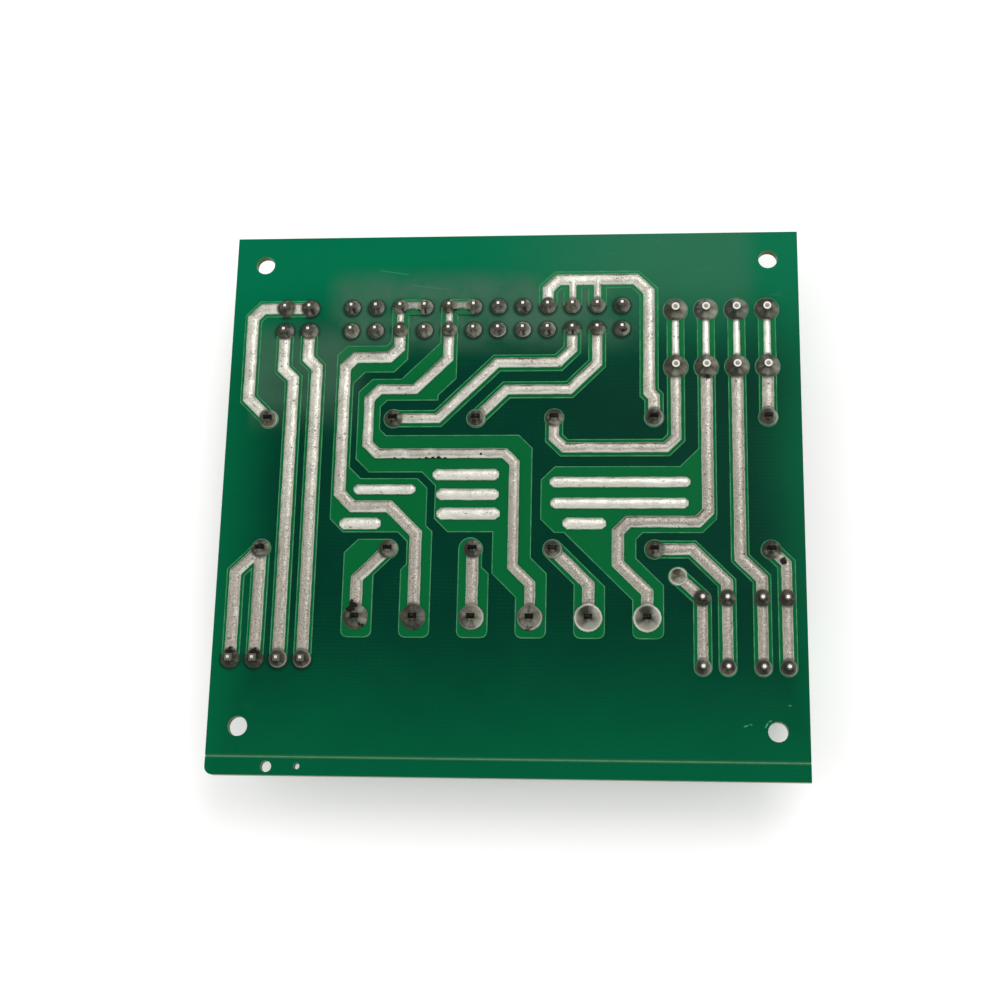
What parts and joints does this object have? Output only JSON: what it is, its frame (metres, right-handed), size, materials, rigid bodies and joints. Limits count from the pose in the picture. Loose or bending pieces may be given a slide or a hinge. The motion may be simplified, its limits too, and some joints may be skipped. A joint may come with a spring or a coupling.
{
  "type": "fuse board",
  "caption": "Printed circuit fuse board, solder side up, with wide soldered tracks above and plug headers, clamp terminals, a barrier strip and glass fuses in open holders below.",
  "frame": {"origin": "middle of the board's outline, on the plane that the plug headers and the barrier strip stand on", "axes": "+Z out of the solder side, +X along the longer edge towards the clamp terminals, +Y towards the edge with the plug headers"},
  "size_m": [0.0966, 0.0928, 0.0164],
  "materials": {
    "laminate": "glossy green lacquer over glass-fibre laminate",
    "lacquered_copper": "glossy green lacquer over copper",
    "solder": "bright, grainy solder",
    "header_plastic": "natural moulded nylon",
    "tinned_pin": "tinned",
    "terminal_plastic": "moulded",
    "screw_steel": "zinc plated",
    "strip_plastic": "moulded",
    "holder_plastic": "moulded",
    "clip_sheet": "tinned spring sheet",
    "fuse_cap": "nickel plated",
    "fuse_glass": "clear",
    "fuse_wire": "drawn wire"
  },
  "bodies": {
    "root": {"circuit_board": "laminate", "copper_tracks": "lacquered_copper", "solder_runs": "solder", "solder_bars": "solder", "solder_joints": "solder", "long_header": "header_plastic", "long_header_pins": "tinned_pin", "small_header": "header_plastic", "small_header_pins": "tinned_pin", "row_header": "header_plastic", "row_header_pins": "tinned_pin", "four_pole_terminal": "terminal_plastic", "four_pole_contacts": "tinned_pin", "four_pole_screws": "screw_steel", "left_pair_terminal": "terminal_plastic", "left_pair_contacts": "tinned_pin", "left_pair_screws": "screw_steel", "right_pair_terminal": "terminal_plastic", "right_pair_contacts": "tinned_pin", "right_pair_screws": "screw_steel", "barrier_strip": "strip_plastic", "barrier_contacts": "tinned_pin", "barrier_washers": "screw_steel", "barrier_screws": "screw_steel", "holder_1": "holder_plastic", "holder_2": "holder_plastic", "holder_3": "holder_plastic", "holder_4": "holder_plastic", "holder_5": "holder_plastic", "holder_6": "holder_plastic", "clips_1": "clip_sheet", "clips_2": "clip_sheet", "clips_3": "clip_sheet", "clips_4": "clip_sheet", "clips_5": "clip_sheet", "clips_6": "clip_sheet", "caps_1": "fuse_cap", "caps_2": "fuse_cap", "caps_3": "fuse_cap", "caps_4": "fuse_cap", "caps_5": "fuse_cap", "caps_6": "fuse_cap", "glass_1": "fuse_glass", "glass_2": "fuse_glass", "glass_3": "fuse_glass", "glass_4": "fuse_glass", "glass_5": "fuse_glass", "glass_6": "fuse_glass", "wire_1": "fuse_wire", "wire_2": "fuse_wire", "wire_3": "fuse_wire", "wire_4": "fuse_wire", "wire_5": "fuse_wire", "wire_6": "fuse_wire"}
  },
  "joints": []
}
